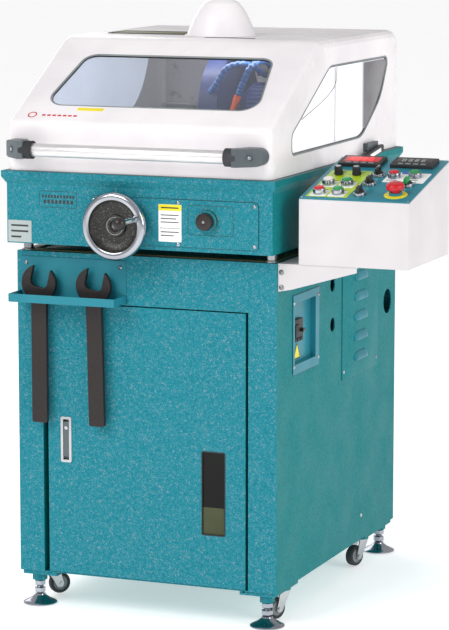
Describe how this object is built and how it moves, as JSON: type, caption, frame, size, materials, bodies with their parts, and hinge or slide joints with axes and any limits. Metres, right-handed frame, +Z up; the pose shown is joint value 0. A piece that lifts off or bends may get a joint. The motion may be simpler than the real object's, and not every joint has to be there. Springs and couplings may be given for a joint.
{
  "type": "cabinet abrasive cut-off machine",
  "caption": "Floor-standing wet cut-off machine: cabinet with door, casters and feet, splash hood with windows and grab bar, handwheel-fed table, guarded wheel and side control desk.",
  "frame": {"origin": "centre of the overall footprint, on the floor under the levelling feet", "axes": "+Z up; -Y is the operator's side with the grab bar, handwheel and cabinet door; +X is the side with the control desk"},
  "size_m": [0.961, 1.0454, 1.4063],
  "materials": {
    "teal_paint": "hammertone enamel",
    "white_paint": "gloss enamel",
    "blue_paint": "satin enamel",
    "chrome": "polished",
    "steel": "machined",
    "blackened_steel": "blackened",
    "black_plastic": "semi-gloss",
    "grey_plastic": "matt",
    "rubber": "moulded",
    "window": "clear",
    "abrasive": "bonded abrasive",
    "red_plastic": "gloss",
    "green_plastic": "gloss",
    "ivory_plastic": "gloss"
  },
  "bodies": {
    "machine": {"cabinet_shell": "teal_paint", "breaker_panel": "teal_paint", "circuit_breaker": "black_plastic", "vent_cover": "teal_paint", "wrench_rack": "teal_paint", "spacer_frame": "steel", "bed_casing": "teal_paint", "front_cover": "teal_paint", "spindle_head": "blue_paint", "wheel_guard": "blue_paint", "interlock_switch": "black_plastic", "control_arm": "white_paint", "control_box": "white_paint", "control_panel": "teal_paint"},
    "hood": {"hood_shell": "white_paint", "front_window": "window", "side_window_right": "window", "side_window_left": "window", "roof_dome": "white_paint", "grab_bar": "chrome", "handle_end_left": "grey_plastic", "handle_end_right": "grey_plastic", "interlock_actuator": "grey_plastic"},
    "door": {"door": "teal_paint", "door_window": "window", "latch_case": "chrome"},
    "latch_lever": {"latch_lever": "grey_plastic"},
    "handwheel": {"handwheel": "black_plastic"},
    "work_table": {"work_table": "steel"},
    "crank_handle": {"crank_handle": "chrome"},
    "adjusting_knob": {"adjusting_knob": "black_plastic"},
    "cutting_wheel": {"cutting_wheel": "abrasive"},
    "wrench_left": {"wrench_left": "blackened_steel"},
    "wrench_right": {"wrench_right": "blackened_steel"},
    "breaker_toggle": {"breaker_toggle": "black_plastic"},
    "button_lamp_off": {"button_lamp_off": "red_plastic"},
    "button_lamp_on": {"button_lamp_on": "green_plastic"},
    "button_coolant_off": {"button_coolant_off": "ivory_plastic"},
    "button_coolant_on": {"button_coolant_on": "green_plastic"},
    "button_stop": {"button_stop": "red_plastic"},
    "button_start": {"button_start": "green_plastic"},
    "selector_front": {"selector_front": "black_plastic"},
    "selector_middle": {"selector_middle": "black_plastic"},
    "selector_back": {"selector_back": "black_plastic"},
    "selector_mode": {"selector_mode": "green_plastic"},
    "speed_knob_left": {"speed_knob_left": "black_plastic"},
    "speed_knob_right": {"speed_knob_right": "black_plastic"},
    "emergency_stop": {"emergency_stop": "red_plastic"},
    "caster_fork_front_left": {"caster_fork_front_left": "steel"},
    "caster_wheel_front_left": {"caster_wheel_front_left": "rubber"},
    "caster_fork_front_right": {"caster_fork_front_right": "steel"},
    "caster_wheel_front_right": {"caster_wheel_front_right": "rubber"},
    "caster_fork_rear_left": {"caster_fork_rear_left": "steel"},
    "caster_wheel_rear_left": {"caster_wheel_rear_left": "rubber"},
    "caster_fork_rear_right": {"caster_fork_rear_right": "steel"},
    "caster_wheel_rear_right": {"caster_wheel_rear_right": "rubber"},
    "foot_front_left": {"foot_front_left": "chrome"},
    "foot_front_right": {"foot_front_right": "chrome"},
    "foot_rear_left": {"foot_rear_left": "chrome"},
    "foot_rear_right": {"foot_rear_right": "chrome"}
  },
  "joints": [
    {"name": "hood_hinge", "type": "hinge", "parent": "machine", "child": "hood", "pos_m": [-0.146, 0.51465, 1.035], "axis": [-1, 0, 0], "range_deg": [0, 65]},
    {"name": "door_hinge", "type": "hinge", "parent": "machine", "child": "door", "pos_m": [0.093, -0.32935, 0.4], "axis": [0, 0, 1], "range_deg": [0, 100]},
    {"name": "latch_lever_pivot", "type": "hinge", "parent": "door", "child": "latch_lever", "pos_m": [-0.3455, -0.33335, 0.441], "axis": [-1, 0, 0], "range_deg": [0, 60]},
    {"name": "handwheel_turn", "type": "hinge", "parent": "machine", "child": "handwheel", "pos_m": [-0.1878, -0.38735, 0.915], "axis": [0, 1, 0], "range_deg": [-3600, 3600]},
    {"name": "table_feed", "type": "slide", "parent": "machine", "child": "work_table", "axis": [0, 1, 0], "range_m": [-0.05, 0.05]},
    {"name": "crank_handle_spin", "type": "hinge", "parent": "handwheel", "child": "crank_handle", "pos_m": [-0.13296, -0.45735, 0.93388], "axis": [0, 1, 0], "continuous": true},
    {"name": "adjusting_knob_turn", "type": "hinge", "parent": "machine", "child": "adjusting_knob", "pos_m": [0.024, -0.39735, 0.9325], "axis": [0, 1, 0], "range_deg": [-150, 150]},
    {"name": "spindle_spin", "type": "hinge", "parent": "machine", "child": "cutting_wheel", "pos_m": [-0.113, 0.09265, 1.145], "axis": [1, 0, 0], "continuous": true},
    {"name": "wrench_left_lift", "type": "slide", "parent": "machine", "child": "wrench_left", "axis": [0, 0, 1], "range_m": [0, 0.12]},
    {"name": "wrench_right_lift", "type": "slide", "parent": "machine", "child": "wrench_right", "axis": [-0.0209, 0, 0.9998], "range_m": [0, 0.12]},
    {"name": "breaker_toggle_tilt", "type": "hinge", "parent": "machine", "child": "breaker_toggle", "pos_m": [0.1698, -0.17835, 0.668], "axis": [0, 1, 0], "range_deg": [-18, 18]},
    {"name": "button_lamp_off_press", "type": "slide", "parent": "machine", "child": "button_lamp_off", "axis": [0, 0.2218, -0.9751], "range_m": [0, 0.004], "stiffness_N_per_m": 300, "springref_m": -0.003},
    {"name": "button_lamp_on_press", "type": "slide", "parent": "machine", "child": "button_lamp_on", "axis": [0, 0.2218, -0.9751], "range_m": [0, 0.004], "stiffness_N_per_m": 300, "springref_m": -0.003},
    {"name": "button_coolant_off_press", "type": "slide", "parent": "machine", "child": "button_coolant_off", "axis": [0, 0.2218, -0.9751], "range_m": [0, 0.004], "stiffness_N_per_m": 300, "springref_m": -0.003},
    {"name": "button_coolant_on_press", "type": "slide", "parent": "machine", "child": "button_coolant_on", "axis": [0, 0.2218, -0.9751], "range_m": [0, 0.004], "stiffness_N_per_m": 300, "springref_m": -0.003},
    {"name": "button_stop_press", "type": "slide", "parent": "machine", "child": "button_stop", "axis": [0, 0.2218, -0.9751], "range_m": [0, 0.004], "stiffness_N_per_m": 300, "springref_m": -0.003},
    {"name": "button_start_press", "type": "slide", "parent": "machine", "child": "button_start", "axis": [0, 0.2218, -0.9751], "range_m": [0, 0.004], "stiffness_N_per_m": 300, "springref_m": -0.003},
    {"name": "selector_front_turn", "type": "hinge", "parent": "machine", "child": "selector_front", "pos_m": [0.3545, -0.30446, 1.00373], "axis": [0, -0.2218, 0.9751], "range_deg": [-45, 45]},
    {"name": "selector_middle_turn", "type": "hinge", "parent": "machine", "child": "selector_middle", "pos_m": [0.3545, -0.23718, 1.01904], "axis": [0, -0.2218, 0.9751], "range_deg": [-45, 45]},
    {"name": "selector_back_turn", "type": "hinge", "parent": "machine", "child": "selector_back", "pos_m": [0.3545, -0.17575, 1.03301], "axis": [0, -0.2218, 0.9751], "range_deg": [-45, 45]},
    {"name": "selector_mode_turn", "type": "hinge", "parent": "machine", "child": "selector_mode", "pos_m": [0.4415, -0.23523, 1.01948], "axis": [0, -0.2218, 0.9751], "range_deg": [-45, 45]},
    {"name": "speed_knob_left_turn", "type": "hinge", "parent": "machine", "child": "speed_knob_left", "pos_m": [0.2605, -0.17673, 1.03279], "axis": [0, -0.2218, 0.9751], "range_deg": [-150, 150]},
    {"name": "speed_knob_right_turn", "type": "hinge", "parent": "machine", "child": "speed_knob_right", "pos_m": [0.3025, -0.17478, 1.03323], "axis": [0, -0.2218, 0.9751], "range_deg": [-150, 150]},
    {"name": "emergency_stop_press", "type": "slide", "parent": "machine", "child": "emergency_stop", "axis": [0, 0.2218, -0.9751], "range_m": [0, 0.005], "stiffness_N_per_m": 500, "springref_m": -0.004},
    {"name": "caster_swivel_front_left", "type": "hinge", "parent": "machine", "child": "caster_fork_front_left", "pos_m": [-0.438, -0.23035, 0.06], "axis": [0, 0, 1], "continuous": true},
    {"name": "caster_roll_front_left", "type": "hinge", "parent": "caster_fork_front_left", "child": "caster_wheel_front_left", "pos_m": [-0.42386, -0.21621, 0.0295], "axis": [-0.7071, 0.7071, 0], "continuous": true},
    {"name": "caster_swivel_front_right", "type": "hinge", "parent": "machine", "child": "caster_fork_front_right", "pos_m": [0.146, -0.23035, 0.06], "axis": [0, 0, 1], "continuous": true},
    {"name": "caster_roll_front_right", "type": "hinge", "parent": "caster_fork_front_right", "child": "caster_wheel_front_right", "pos_m": [0.13755, -0.24848, 0.0295], "axis": [0.9063, -0.4226, 0], "continuous": true},
    {"name": "caster_swivel_rear_left", "type": "hinge", "parent": "machine", "child": "caster_fork_rear_left", "pos_m": [-0.438, 0.31765, 0.06], "axis": [0, 0, 1], "continuous": true},
    {"name": "caster_roll_rear_left", "type": "hinge", "parent": "caster_fork_rear_left", "child": "caster_wheel_rear_left", "pos_m": [-0.42514, 0.33297, 0.0295], "axis": [-0.766, 0.6428, 0], "continuous": true},
    {"name": "caster_swivel_rear_right", "type": "hinge", "parent": "machine", "child": "caster_fork_rear_right", "pos_m": [0.146, 0.31765, 0.06], "axis": [0, 0, 1], "continuous": true},
    {"name": "caster_roll_rear_right", "type": "hinge", "parent": "caster_fork_rear_right", "child": "caster_wheel_rear_right", "pos_m": [0.13916, 0.29886, 0.0295], "axis": [0.9397, -0.342, 0], "continuous": true},
    {"name": "foot_front_left_screw", "type": "slide", "parent": "machine", "child": "foot_front_left", "axis": [0, 0, -1], "range_m": [0, 0.02]},
    {"name": "foot_front_right_screw", "type": "slide", "parent": "machine", "child": "foot_front_right", "axis": [0, 0, -1], "range_m": [0, 0.02]},
    {"name": "foot_rear_left_screw", "type": "slide", "parent": "machine", "child": "foot_rear_left", "axis": [0, 0, -1], "range_m": [0, 0.02]},
    {"name": "foot_rear_right_screw", "type": "slide", "parent": "machine", "child": "foot_rear_right", "axis": [0, 0, -1], "range_m": [0, 0.02]}
  ],
  "couplings": [
    {"joint": "table_feed", "follows": "handwheel_turn", "m_per_rad": 0.00079577}
  ]
}
